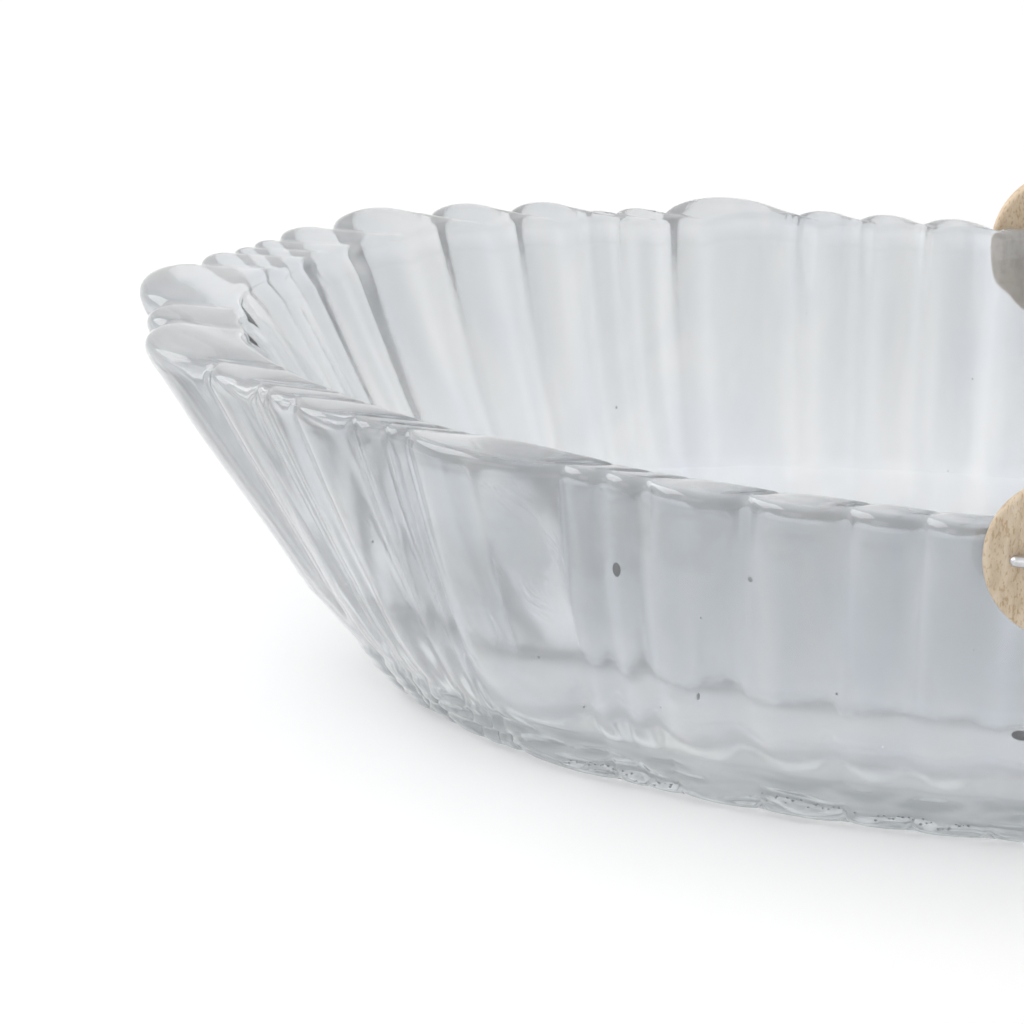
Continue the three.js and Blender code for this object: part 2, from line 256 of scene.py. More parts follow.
class Stations:
    """Places round the bowl: the angle, the place across a pleat and the width of that pleat."""

    def __init__(self):
        turn = np.linspace(0, FULL_TURN, ARC_STEPS + 1)
        arc = on_oval(RIM_LENGTH, RIM_WIDTH, turn)
        steps = np.linalg.norm(np.diff(arc, axis=0), axis=1)
        ruler = np.concatenate([[0], np.cumsum(steps)])
        around = ruler[-1]
        widths = np.array(PLEAT_WIDTHS * 2, float)
        widths *= around / widths.sum()
        along, across, width = [], [], []
        start = -FIRST_PLEAT_SHARE * widths[0]
        for w in widths:
            facets = max(FEWEST_FACETS, 2 * round(w / STATION_STEP / 2))
            share = np.arange(facets) / facets
            along.append(start + w * share)
            across.append(2 * share - 1)
            width.append(np.full(facets, w))
            start += w
        along = np.concatenate(along)
        self.across = np.concatenate(across)
        self.width = np.concatenate(width)
        turns = np.floor(along / around)
        self.angle = np.interp(along % around, ruler, turn) + FULL_TURN * turns
        self.end = np.abs(np.sin(self.angle)) ** END_POWER
        self.shape_pleats()

    def shape_pleats(self):
        from_handle = RIM_LENGTH / 2 * np.abs(np.sin(self.angle))
        seat = lerp(SEAT_SWELL, 1, smoothstep(from_handle, SEAT_FLAT, SEAT_EDGE))
        swell = lerp(PLEAT_BULGE, END_BULGE, self.end) * self.width
        self.bulge = np.minimum(swell, PLEAT_BULGE_MOST) * seat
        self.lobe = (1 - self.across**2) ** RIM_POWER
        quarter = QUARTER_RISE * np.clip(-np.sin(2 * self.angle), 0, 1)
        edge = RIM_HEIGHT - END_DROOP * self.end
        rise = lerp(PLEAT_RISE + quarter, END_RISE, self.end)
        inner_rise = lerp(INNER_RISE, END_RISE, self.end)
        self.top = edge + rise * self.width * self.lobe
        self.inner_top = edge + inner_rise * self.width * self.lobe
        self.lip_reach = lerp(LIP_RADIUS, END_LIP_REACH, self.end)
        self.lip_drop = lerp(LIP_RADIUS, END_LIP_DROP, self.end)
        self.inner_lip = lerp(INNER_LIP_RADIUS, END_INNER_LIP, self.end)
        self.notch = NOTCH_LIFT * (1 - self.lobe) ** NOTCH_POWER


def softened(values, rounds):
    """Values round the bowl with their sharp steps rounded off."""
    for _ in range(rounds):
        values = (np.roll(values, 1) + 2 * values + np.roll(values, -1)) / 4
    return values


def wall_swell(stations, height):
    """How far the pleats stand out at a height: round ended ribs over a faintly lobed band."""
    up = np.clip(height / RIM_HEIGHT, 0, 1)
    at_rim = smoothstep(up, RIM_SHAPE_FROM, 1)
    end = np.minimum(PLEAT_END_SHARE * stations.width, PLEAT_END_MOST)
    below = np.clip((FOOT_BAND + end - height) / end, 0, None)
    power = lerp(WALL_POWER, RIM_POWER, at_rim) + PLEAT_END_SOFTNESS * smoothstep(below, 0, 1)
    rib = np.maximum(1 - stations.across**2 - below**2, 0) ** power
    full = lerp(WALL_SWELL, 1, up**2)
    swell = stations.bulge * (BAND_SWELL * stations.lobe + (full - BAND_SWELL) * rib)
    return lerp(softened(swell, WALL_ROUNDS), softened(swell, RIM_ROUNDS), at_rim)


def outer(stations, height, inset=0.0):
    height = np.broadcast_to(np.asarray(height, float), stations.angle.shape)
    reach = np.clip(height / RIM_HEIGHT, 0, 1) ** WALL_FLARE
    length = lerp(FOOT_LENGTH, RIM_LENGTH, reach)
    width = lerp(FOOT_WIDTH, RIM_WIDTH, reach)
    angle = swept(stations.angle, reach)
    swell = wall_swell(stations, height) - inset
    plan = on_oval(length, width, angle) + outwards(length, width, angle) * swell[:, None]
    return np.column_stack([plan, height])


def inner(stations, height, inset=0.0, lift=0.0):
    height = np.broadcast_to(np.asarray(height, float), stations.angle.shape)
    up = np.clip((height - FLOOR_THICKNESS) / (RIM_HEIGHT - FLOOR_THICKNESS), 0, 1)
    reach = up**WALL_FLARE
    length = lerp(FLOOR_LENGTH, RIM_LENGTH - 2 * RIM_END_WALL, reach)
    width = lerp(FLOOR_WIDTH, RIM_WIDTH - 2 * RIM_SIDE_WALL, reach)
    angle = swept(stations.angle, reach)
    at_rim = smoothstep(height, RIM_HEIGHT - INNER_SWELL_HEIGHT, RIM_HEIGHT)
    off_floor = smoothstep(height, FLOOR_THICKNESS, FILLET_TOP)
    scallop = lerp(INNER_FLUTE, INNER_SWELL, at_rim) * off_floor
    swell = softened(scallop * stations.bulge * stations.lobe, RIM_ROUNDS) - inset
    plan = on_oval(length, width, angle) + outwards(length, width, angle) * swell[:, None]
    return np.column_stack([plan, height + lift])


def flat_rings(edge, height, first, last, count):
    """Rings over a flat middle at a height, as shares of its edge."""
    rings = []
    for share in np.linspace(first, last, count):
        ring = edge * share
        ring[:, 2] = height
        rings.append(ring)
    return rings


def underside_rings(stations):
    """Rings over the recess, its slope and the sole round it."""
    edge = outer(stations, 0, FOOT_RING + 2 * FOOT_RECESS)
    rings = flat_rings(edge, FOOT_RECESS, *RECESS_SHARES, RECESS_RINGS)
    for share in np.linspace(0, 1, SLOPE_RINGS):
        slope = outer(stations, 0, FOOT_RING + 2 * FOOT_RECESS * (1 - share))
        slope[:, 2] = FOOT_RECESS * (1 - smoothstep(share, 0, 1))
        rings.append(slope)
    for inset in np.linspace(FOOT_RING - SOLE_STEP, FOOT_RADIUS, SOLE_RINGS):
        rings.append(outer(stations, 0, inset))
    return rings


def foot_rings(stations):
    """Rings over the round lower edge and the band at the foot, lifted in the grooves."""
    rings = []
    for turn in beyond(0, QUARTER_TURN, FOOT_EDGE_RINGS):
        height = FOOT_RADIUS * (1 - math.cos(turn))
        rings.append(outer(stations, height, FOOT_RADIUS * (1 - math.sin(turn))))
    for height in beyond(FOOT_RADIUS, FOOT_BAND, FOOT_BAND_RINGS):
        rings.append(outer(stations, height))
    for ring in rings:
        ring[:, 2] += stations.notch * (1 - ring[:, 2] / FINE_TOP)
    return rings


def wall_rings(stations):
    rings = []
    for height in beyond(FOOT_BAND, FINE_TOP, FINE_RINGS):
        ring = outer(stations, height)
        ring[:, 2] += stations.notch * (1 - height / FINE_TOP)
        rings.append(ring)
    for height in beyond(FINE_TOP, COARSE_TOP, COARSE_RINGS):
        rings.append(outer(stations, height))
    wall_top = stations.top - stations.lip_drop
    for share in beyond(0, 1, HIGH_RINGS):
        rings.append(outer(stations, lerp(COARSE_TOP, wall_top, share)))
    return rings


def rim_rings(stations):
    """Rings over the outer lip, the top of the rim and the inner lip."""
    rings = []
    for turn in beyond(0, QUARTER_TURN, LIP_RINGS):
        drop = stations.lip_drop * (1 - math.sin(turn))
        inset = stations.lip_reach * (1 - math.cos(turn))
        rings.append(outer(stations, stations.top - drop, inset))
    lip = rings[-1]
    mouth = inner(stations, stations.inner_top, -stations.inner_lip)
    for share in beyond(0, 1, TOP_RINGS + 1)[:-1]:
        rings.append(lerp(lip, mouth, share))
    for turn in np.linspace(0, QUARTER_TURN, INNER_LIP_RINGS):
        drop = stations.inner_lip * (1 - math.cos(turn))
        inset = -stations.inner_lip * (1 - math.sin(turn))
        rings.append(inner(stations, stations.inner_top, inset, -drop))
    return rings


def inside_rings(stations):
    rings = []
    inner_top = stations.inner_top - stations.inner_lip
    for share in beyond(0, 1, INSIDE_RINGS):
        rings.append(inner(stations, lerp(inner_top, FILLET_TOP, share)))
    return rings


def floor_rings(stations):
    """Rings over the fillet and the flat floor."""
    rings = []
    for turn in beyond(0, QUARTER_TURN, FILLET_RINGS):
        height = FILLET_TOP - FLOOR_FILLET * math.sin(turn)
        rings.append(inner(stations, height, FLOOR_FILLET * (1 - math.cos(turn))))
    return rings + flat_rings(rings[-1], FLOOR_THICKNESS, *FLOOR_SHARES, FLOOR_RINGS)


def folds_at(points):
    return ridges(points, FOLD_LENGTH, FOLD_HEIGHT, FOLD_SEED)


def waved(points, outside):
    """The skin with the glass's waves: long and short ones, wisps and the folds at the foot."""
    along = np.gradient(points, axis=0)
    around = np.roll(points, -1, axis=1) - np.roll(points, 1, axis=1)
    normal = np.cross(along, around)
    normal /= np.maximum(np.linalg.norm(normal, axis=2, keepdims=True), SHORTEST_NORMAL)
    flat = points.reshape(-1, 3)
    height = flat[:, 2]
    push = LONG_DEPTH * ripple(flat, LONG_WAVE, LONG_SEED)
    push += SHORT_DEPTH * ripple(flat, SHORT_WAVE, SHORT_SEED)
    push *= smoothstep(height, FOOT_RECESS, WAVES_FROM)
    at_foot = smoothstep(height, *FOLD_START) * (1 - smoothstep(height, *FOLD_STOP))
    push += FOLD_DEPTH * folds_at(flat) * at_foot * outside
    wisps = ridges(flat, WISP_LENGTH, WISP_HEIGHT, WISP_SEED)
    push += WISP_DEPTH * wisps * np.exp(-((height - WISP_MIDDLE) / WISP_SPREAD) ** 2)
    from_pivot = np.hypot(flat[:, 0], height - PIVOT_HEIGHT)
    push *= smoothstep(from_pivot, *CLEAR_OF_PIVOT)
    return points + normal * push.reshape(points.shape[:2])[:, :, None]


def cut(obj, tool_mesh):
    tool = bpy.data.objects.new("drill", tool_mesh)
    bpy.context.scene.collection.objects.link(tool)
    modifier = obj.modifiers.new("cut", "BOOLEAN")
    modifier.operation = "DIFFERENCE"
    modifier.solver = "MANIFOLD"
    modifier.object = tool
    graph = bpy.context.evaluated_depsgraph_get()
    made = bpy.data.meshes.new_from_object(obj.evaluated_get(graph))
    obj.modifiers.clear()
    obj.data = made
    bpy.data.objects.remove(tool)


def drill(radius, length, sides):
    """A rod along Y through both holes."""
    turn = circle(sides)
    x, z = radius * np.cos(turn), radius * np.sin(turn)
    ends = [np.column_stack([x, np.full(sides, y), z]) for y in (-length / 2, length / 2)]
    points = np.concatenate(ends) + [0, 0, PIVOT_HEIGHT]
    faces = [(i, i + sides, (i + 1) % sides + sides, (i + 1) % sides) for i in range(sides)]
    faces += [tuple(range(sides)), tuple(range(2 * sides - 1, sides - 1, -1))]
    return make_mesh("drill", points * MM, faces)


# Bubbles shut in the wall: angle, height, depth, half sizes round, up and through. The first
# ones have a painted dark reflection, and the others a faint painted shade
PAINTED_DARK_BUBBLES = 2
BUBBLES = (
    (0.5007, 41.8, 0.7, (0.75, 1.35, 0.4)),
    (0.0315, 20.8, 0.8, (1.5, 0.9, 0.5)),
    (0.3396, 44.2, 0.6, (0.5, 0.5, 0.3)),
    (0.6269, 22.7, 0.5, (0.25, 0.35, 0.2)),
    (0.582, 14.1, 0.5, (0.25, 0.3, 0.2)),
    (0.4058, 21.2, 0.5, (0.28, 0.7, 0.2)),
    (0.241, 25.0, 0.5, (0.25, 0.25, 0.2)),
)
BUBBLE_SEED = 7
BUBBLE_SIDES = 10
BUBBLE_BANDS = 6
# Rows of small bubbles in the band at the foot: first and last angle, and height
BUBBLE_ROWS = ((0.66, 0.56, 2.6), (0.58, 0.46, 2.0), (0.36, 0.22, 3.2), (0.2, 0.08, 2.6))
ROW_BUBBLES = 22
ROW_SIZES = (0.09, 0.2)
ROW_SCATTER = 0.7
ROW_DEPTHS = (0.5, 1.2)
ROW_STRETCH = 1.5
# Small bubbles anywhere in the wall
LOOSE_BUBBLES = 40
LOOSE_SIZES = (0.08, 0.18)
LOOSE_ANGLES = (0, 6)
LOOSE_HEIGHTS = (12, 45)
LOOSE_DEPTHS = (0.5, 2.5)
LOOSE_STRETCH = 1.4


def wall_place(stations, angle, height, depth):
    """A point in the wall at a depth under its outside, and the directions round, up and out."""
    swell = np.interp(angle, stations.angle, wall_swell(stations, height))
    reach = (height / RIM_HEIGHT) ** WALL_FLARE
    length = lerp(FOOT_LENGTH, RIM_LENGTH, reach)
    width = lerp(FOOT_WIDTH, RIM_WIDTH, reach)
    turned_angle = swept(angle, reach)
    out = np.append(outwards(length, width, turned_angle), 0)
    place = np.append(on_oval(length, width, turned_angle), height) + out * (swell - depth)
    up = np.array([0, 0, 1.0])
    return place, np.stack([np.cross(up, out), up, out])


def ball(sides, bands):
    """Points of a ball of radius 1, in rings from the bottom to the top."""
    turn = circle(sides)
    points = [np.array([[0, 0, -1.0]])]
    for j in range(1, bands):
        tilt = math.pi * j / bands
        ring = [math.sin(tilt) * np.cos(turn), math.sin(tilt) * np.sin(turn)]
        points.append(np.column_stack([*ring, np.full(sides, -math.cos(tilt))]))
    return np.concatenate([*points, [[0, 0, 1.0]]])


def bubble_list():
    chance = random.Random(BUBBLE_SEED)
    bubbles = list(BUBBLES)
    for first, last, height in BUBBLE_ROWS:
        for i in range(ROW_BUBBLES):
            angle = lerp(first, last, (i + chance.random()) / ROW_BUBBLES)
            size = chance.uniform(*ROW_SIZES)
            place = height + chance.uniform(-ROW_SCATTER, ROW_SCATTER)
            depth = chance.uniform(*ROW_DEPTHS)
            bubbles.append((angle, place, depth, (size * ROW_STRETCH, size, size)))
    for _ in range(LOOSE_BUBBLES):
        size = chance.uniform(*LOOSE_SIZES)
        angle = chance.uniform(*LOOSE_ANGLES)
        height = chance.uniform(*LOOSE_HEIGHTS)
        depth = chance.uniform(*LOOSE_DEPTHS)
        bubbles.append((angle, height, depth, (size, size * LOOSE_STRETCH, size)))
    return bubbles


def add_bubbles(bowl, stations, painted_dark_skin, painted_faint_skin):
    """Hollows in the wall, whose faces point into them, with painted shade on their skins."""
    dark_index = len(bowl.data.materials)
    bowl.data.materials.append(painted_dark_skin)
    bowl.data.materials.append(painted_faint_skin)
    glass_faces = len(bowl.data.polygons)
    unit = ball(BUBBLE_SIDES, BUBBLE_BANDS)
    unit_faces = ring_faces(BUBBLE_BANDS - 1, BUBBLE_SIDES)
    points, faces = [], []
    for angle, height, depth, sizes in bubble_list():
        place, axes = wall_place(stations, angle, height, depth)
        faces += [tuple(v + len(points) * len(unit) for v in face) for face in unit_faces]
        points.append(place + (unit * sizes) @ axes)
    joined = bmesh.new()
    joined.from_mesh(bowl.data)
    joined.from_mesh(make_mesh("bubbles", np.concatenate(points) * MM, faces))
    joined.faces.ensure_lookup_table()
    # Painted shade: dark on the first bubbles, faint on the others
    for i, face in enumerate(joined.faces[glass_faces:]):
        is_faint = i >= PAINTED_DARK_BUBBLES * len(unit_faces)
        face.material_index = dark_index + is_faint
    joined.to_mesh(bowl.data)
    joined.free()


# Zones of the bowl's skin, in the order of its materials
OUTSIDE, INSIDE, FLOOR, UNDERSIDE, FOOT, RIM = range(6)
# Tones of the glass: shares of the height of the highest pleat and of the half length, with
# tones, and the share of its tone that the crest of a pleat loses. The deeper tone towards the
# thick ends is the glass's own tint. By height the tone is partly the deeper tint of thick glass
# and partly painted shade, darkest at the foot, where it stands in its contact shadow, and at the
# top of the rim. What the crests lose is painted shade, which leaves the grooves as painted
# bright seams
PLEAT_TOP = 61.5
HEIGHT_TINTS_AND_PAINTED_SHADE = (
    (0.0, 0.70), (0.1, 0.76), (0.16, 1.0), (0.4, 1.0), (0.65, 0.98),
    (0.88, 0.96), (0.94, 0.94), (0.965, 0.84), (1.0, 0.62),
)
END_TONES = ((0.5, 1.0), (0.8, 0.96))
PAINTED_PLEAT_SHADE = 0.23
LOW_PLEAT_SHARE = 0.2
PAINTED_PLEAT_SHADE_TOP = 46.0
TONE_ROUNDS = 1
# Painted shade between the folds and painted highlights on their crests: tones, and the places on
# the folds between which one goes over into the other
FOLD_PAINTED_SHADE_AND_HIGHLIGHT = (0.8, 1.2)
FOLD_CREST = (0.45, 0.95)


def tones(stations, points, zones):
    """How light the glass is at each point of the skin, from 0 to 1: its tint, with painted shade
    and painted highlights.
    """
    height = points[:, :, 2]
    # Partly the deeper tint of thick glass, partly painted shade at the foot and at the top of the
    # rim
    height_tint_and_shade = np.interp(height / PLEAT_TOP, *zip(*HEIGHT_TINTS_AND_PAINTED_SHADE))
    end_tone = np.interp(np.abs(points[:, :, 0]) / (RIM_LENGTH / 2), *zip(*END_TONES))
    # Painted shade on the crests of the pleats, deeper higher up, which leaves painted bright
    # seams in the grooves
    up = smoothstep(height, FLOOR_THICKNESS, PAINTED_PLEAT_SHADE_TOP)
    depth = PAINTED_PLEAT_SHADE * lerp(LOW_PLEAT_SHARE, 1, up)
    pleat_painted_shade = 1 - depth * softened(stations.lobe, TONE_ROUNDS)
    tone = np.ones(points.shape[:2])
    for ring, zone in enumerate(zones):
        if zone != UNDERSIDE:
            tone[ring] = end_tone[ring]
        if zone in (OUTSIDE, INSIDE, FOOT, RIM):
            tone[ring] *= height_tint_and_shade[ring]
        if zone in (OUTSIDE, INSIDE):
            tone[ring] *= pleat_painted_shade[ring]
        # Painted shade between the folds of the foot, painted highlights on their crests
        if zone == FOOT:
            tone[ring] *= lerp(*FOLD_PAINTED_SHADE_AND_HIGHLIGHT, smoothstep(folds_at(points[ring]), *FOLD_CREST))
    return np.concatenate([[1], tone.ravel(), [1]])


def glass_bowl(skins, painted_shade_bubble_skins):
    """The bowl, with a skin for each of its zones and two with painted shade for its bubbles."""
    stations = Stations()
    runs = (
        (UNDERSIDE, underside_rings(stations)),
        (FOOT, foot_rings(stations)),
        (OUTSIDE, wall_rings(stations)),
        (RIM, rim_rings(stations)),
        (INSIDE, inside_rings(stations)),
        (FLOOR, floor_rings(stations)),
    )
    rings = [ring for _, run in runs for ring in run]
    zones = [zone for zone, run in runs for _ in run]
    around = len(stations.angle)
    is_outside = np.repeat([zone in (OUTSIDE, FOOT) for zone in zones], around)
    skin = waved(np.stack(rings), is_outside)
    bottom, floor_middle = [[0, 0, FOOT_RECESS]], [[0, 0, FLOOR_THICKNESS]]
    points = np.concatenate([bottom, skin.reshape(-1, 3), floor_middle])
    mesh = make_mesh("bowl_glass", points * MM, ring_faces(len(rings), around))
    mesh.polygons.foreach_set("material_index", [UNDERSIDE, *zones] * around)
    tone = mesh.attributes.new("tone", "FLOAT", "POINT")
    tone.data.foreach_set("value", tones(stations, skin, zones))
    bowl = make_object("bowl_glass", mesh, *skins)
    cut(bowl, drill(HOLE_RADIUS, 2 * RIM_WIDTH, DRILL_SIDES))
    add_bubbles(bowl, stations, *painted_shade_bubble_skins)
    bowl.data.shade_smooth()
    return bowl


# Turned and bent pieces

def box_mm(node):
    return tuple(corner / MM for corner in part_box(node))


def turned(name, profile, height, sides, material):
    """A ring turned about a line along Y at a height, from a closed profile of (radius, place)."""
    turn = circle(sides)
    points = [(r * math.cos(t), y, height + r * math.sin(t)) for r, y in profile for t in turn]
    faces = []
    for j in range(len(profile)):
        a, b = j * sides, (j + 1) % len(profile) * sides
        for i in range(sides):
            k = (i + 1) % sides
            faces.append((a + i, b + i, b + k, a + k))
    return make_object(name, make_mesh(name, np.array(points) * MM, faces), material)


def edge_round(radius, place, edge, first_end):
    """A profile's round edge at its largest radius, on its first or its second end."""
    sign = -1 if first_end else 1
    points = []
    for angle in np.linspace(0, QUARTER_TURN, EDGE_POINTS):
        reach = radius - edge + edge * math.cos(angle)
        points.append((reach, place + sign * edge * (math.sin(angle) - 1)))
    return points[::-1] if first_end else points


def wood_disc(name, node, material):
    low, high = box_mm(node)
    radius = (high.x - low.x) / 2
    flat = radius - DISC_FLAT_INSET
    dish = flat * DISC_DISH_SHARE
    profile = [(BORE_RADIUS, low.y + DISC_DISH), (dish, low.y + DISC_DISH), (flat, low.y)]
    profile += edge_round(radius, low.y, DISC_EDGE, True)
    profile += edge_round(radius, high.y, DISC_EDGE, False)
    profile += [(flat, high.y), (dish, high.y - DISC_DISH), (BORE_RADIUS, high.y - DISC_DISH)]
    return turned(name, profile, PIVOT_HEIGHT, DISC_SIDES, material)


def hole_sleeve(name, node, material):
    low, high = box_mm(node)
    radius = (high.x - low.x) / 2
    profile = [(BORE_RADIUS, low.y + SLEEVE_EDGE), (BORE_RADIUS + SLEEVE_EDGE, low.y)]
    profile += edge_round(radius, low.y, SLEEVE_EDGE, True)
    profile += edge_round(radius, high.y, SLEEVE_EDGE, False)
    profile += [(BORE_RADIUS + SLEEVE_EDGE, high.y), (BORE_RADIUS, high.y - SLEEVE_EDGE)]
    return turned(name, profile, PIVOT_HEIGHT, SLEEVE_SIDES, material)


def grip(material):
    low, high = box_mm("handle_grip")
    radius = (high.x - low.x) / 2
    half = high.y
    belly_end = half - GRIP_EDGE
    profile = [(BORE_RADIUS, -half)]
    profile += edge_round(GRIP_END_RADIUS, -half, GRIP_EDGE, True)
    for place in np.linspace(-belly_end, belly_end, GRIP_RINGS)[1:-1]:
        belly = math.cos(QUARTER_TURN * place / belly_end)
        profile.append((lerp(GRIP_END_RADIUS, radius, belly), place))
    profile += edge_round(GRIP_END_RADIUS, half, GRIP_EDGE, False)
    profile.append((BORE_RADIUS, half))
    return turned("grip_wood", profile, (low.z + high.z) / 2, GRIP_SIDES, material)


def bend(before, corner, after, radius, steps):
    """Points of the round bend at a corner between two straight runs."""
    back, on = (before - corner).normalized(), (after - corner).normalized()
    half = back.angle(on) / 2
    centre = corner + (back + on).normalized() * (radius / math.sin(half))
    first = corner + back * (radius / math.tan(half)) - centre
    last = corner + on * (radius / math.tan(half)) - centre
    axis = first.cross(last).normalized()
    sweep = math.pi - 2 * half
    return [centre + Matrix.Rotation(sweep * i / steps, 3, axis) @ first for i in range(steps + 1)]


def front_wire():
    """The middle of half the wire, from the clinched tail on the front disc to the grip."""
    wall_inside = box_mm("front_hole_sleeve")[1].y
    tail_plane = box_mm("bail_wire")[0].y + WIRE_RADIUS
    grip_low, grip_high = box_mm("handle_grip")
    grip_height = (grip_low.z + grip_high.z) / 2
    tip = Vector((-TAIL_LENGTH, tail_plane, PIVOT_HEIGHT))
    leaving = Vector((0, tail_plane, PIVOT_HEIGHT))
    foot = Vector((0, wall_inside + WIRE_BEND + SEAT_GAP, PIVOT_HEIGHT))
    shoulder = Vector((0, grip_low.y - GRIP_SHOULDER - BAIL_CORNER, grip_height))
    middle = Vector((0, 0, grip_height))
    tail_end = tip + Vector((WIRE_RADIUS, 0, 0))
    rounding = np.linspace(0, QUARTER_TURN, TAIL_RINGS)
    path = [tip.lerp(tail_end, 1 - math.cos(angle)) for angle in rounding]
    sizes = [math.sin(angle) for angle in rounding]
    path += bend(tip, leaving, foot, WIRE_RADIUS + SEAT_GAP, TAIL_BEND_STEPS)
    path += bend(leaving, foot, shoulder, WIRE_BEND, WALL_BEND_STEPS)
    path += bend(foot, shoulder, middle, BAIL_CORNER, CORNER_STEPS)
    return path, sizes + [1.0] * (len(path) - len(sizes))


def bail(material):
    """The wire, its second half a half turn of the first, with flattened tails."""
    path, sizes = front_wire()
    path += [Vector((-p.x, -p.y, p.z)) for p in reversed(path)]
    sizes += sizes[::-1]
    side = Vector((0, 0, 1))
    points = [path[0]]
    for before, place, after, size in zip(path, path[1:], path[2:], sizes[1:]):
        tangent = (after - before).normalized()
        side = (side - tangent * side.dot(tangent)).normalized()
        other = side.cross(tangent)
        flatness = TAIL_FLATNESS if abs(place.x) > WIRE_RADIUS + 2 * SEAT_GAP else 1.0
        for turn in circle(WIRE_SIDES):
            offset = side * (flatness * math.cos(turn)) + other * math.sin(turn)
            points.append(place + offset * (WIRE_RADIUS * size))
    points.append(path[-1])
    faces = ring_faces(len(path) - 2, WIRE_SIDES)
    mesh = make_mesh("bail_steel", np.array([tuple(p) for p in points]) * MM, faces)
    return make_object("bail_steel", mesh, material)


# Materials: noises by their scale along each axis in waves for each metre, detail, roughness and
# distortion, bumps by their distance in metres and strength
GLASS_STREAKS = ((60, 60, 12), 4, 0.5, 1.5)
GLASS_RIPPLES = ((180, 180, 90), 3, 0.5, 0.8)
GLASS_BUMP = (0.0002, 0.35)
GLASS_IOR = 1.5
COAT_ROUGHNESS = 0.02
# Colours at the lowest and highest tone of the bowl: the low end is deep tint and painted shade
DEEP_TINT_AND_SHADE, CLEAR_TONE = (0.0, 0.03, 0.035), (1, 1, 1)
LIGHT_GLASS, DARK_GLASS = (0.99, 1.0, 1.0), (0.86, 0.895, 0.95)
# The foot's colours are darker than the wall's: partly the grey-blue of the foot band, partly
# painted shade for the contact shadow it stands in
LIGHT_FOOT_PAINTED_SHADE, DARK_FOOT_PAINTED_SHADE = (0.86, 0.89, 0.91), (0.74, 0.78, 0.80)
# Skins of the bowl, in the order of its zones: roughness, share of light that passes, gloss of
# the coat, light and dark colour
GLASS_SKINS = (
    ("clear_glass", 0.19, 0.86, 0.8, LIGHT_GLASS, DARK_GLASS),
    ("inner_glass", 0.14, 0.86, 0.6, LIGHT_GLASS, DARK_GLASS),
    ("floor_glass", 0.2, 0.94, 0.5, LIGHT_GLASS, DARK_GLASS),
    ("stippled_glass", 0.5, 0.9, 0.0, LIGHT_GLASS, DARK_GLASS),
    ("foot_glass", 0.1, 0.74, 0.8, LIGHT_FOOT_PAINTED_SHADE, DARK_FOOT_PAINTED_SHADE),
    ("rim_glass", 0.12, 0.8, 1.0, LIGHT_GLASS, DARK_GLASS),
)

# Bubbles are hollows without colour of their own: their skins are painted shade, dark for the dark
# reflection of the first ones and grey for the faint ones
PAINTED_SHADE_BUBBLE_PATCHES = ((400, 400, 400),)
PAINTED_SHADE_BUBBLE_SKINS = (
    ("painted_shade_dark_bubble", (0.03, 0.035, 0.04), (0.10, 0.11, 0.12)),
    ("painted_shade_faint_bubble", (0.28, 0.30, 0.31), (0.48, 0.50, 0.51)),
)
BUBBLE_ROUGHNESS = 0.4
BUBBLE_IOR = 1.05

GRAIN_NOISE = (4, 0.6, 0.6)
PORE_NOISE = (2, 0.5)
PORE_BUMP_NOISE = (3, 0.6)
PORE_TONES = ((0.34, (0.78, 0.70, 0.60)), (0.46, (1, 1, 1)))
WOOD_ROUGHNESS = 0.62
WOOD_BUMP = (0.0004, 0.5)
DISC_GRAIN, DISC_PORES = (620, 400, 160), (2800, 1200, 1100)
GRIP_GRAIN, GRIP_PORES = (500, 60, 500), (1800, 260, 1800)
DISC_TONES = (
    (0.25, (0.54, 0.42, 0.29)), (0.5, (0.70, 0.57, 0.42)), (0.75, (0.78, 0.67, 0.52)),
)
# The rear disc: the same wood painted lighter and warmer, painted light that makes up for the
# shade it stands in by the bowl
REAR_DISC_PAINTED_LIGHT_TONES = (
    (0.25, (0.62, 0.46, 0.305)), (0.5, (0.80, 0.63, 0.445)), (0.75, (0.89, 0.74, 0.55)),
)
GRIP_TONES = (
    (0.25, (0.48, 0.36, 0.23)), (0.5, (0.60, 0.48, 0.34)), (0.75, (0.68, 0.57, 0.42)),
)

STEEL_PATCHES = ((900, 900, 900),)
STEEL_LINES = ((2500, 2500, 300), 2)
DARK_STEEL, LIGHT_STEEL = (0.52, 0.52, 0.53), (0.64, 0.64, 0.65)
STEEL_ROUGHNESS = 0.32
STEEL_BUMP = (0.00005, 0.3)

SLEEVE_PATCHES = ((700, 700, 700),)
DARK_SLEEVE, LIGHT_SLEEVE = (0.74, 0.74, 0.72), (0.84, 0.84, 0.82)
SLEEVE_ROUGHNESS = 0.45
SLEEVE_CLEARNESS = 0.4
SLEEVE_IOR = 1.41

# Places in a noise between which a material goes from dark to light
DARK_PLACE, LIGHT_PLACE = 0.3, 0.7
# Colour sockets of a mix node
MIX_FACTOR, MIX_FIRST, MIX_SECOND, MIX_RESULT = 0, 6, 7, 2


def new_material(name):
    material = bpy.data.materials.new(name)
    material.use_nodes = True
    tree = material.node_tree
    return material, tree, tree.nodes["Principled BSDF"]


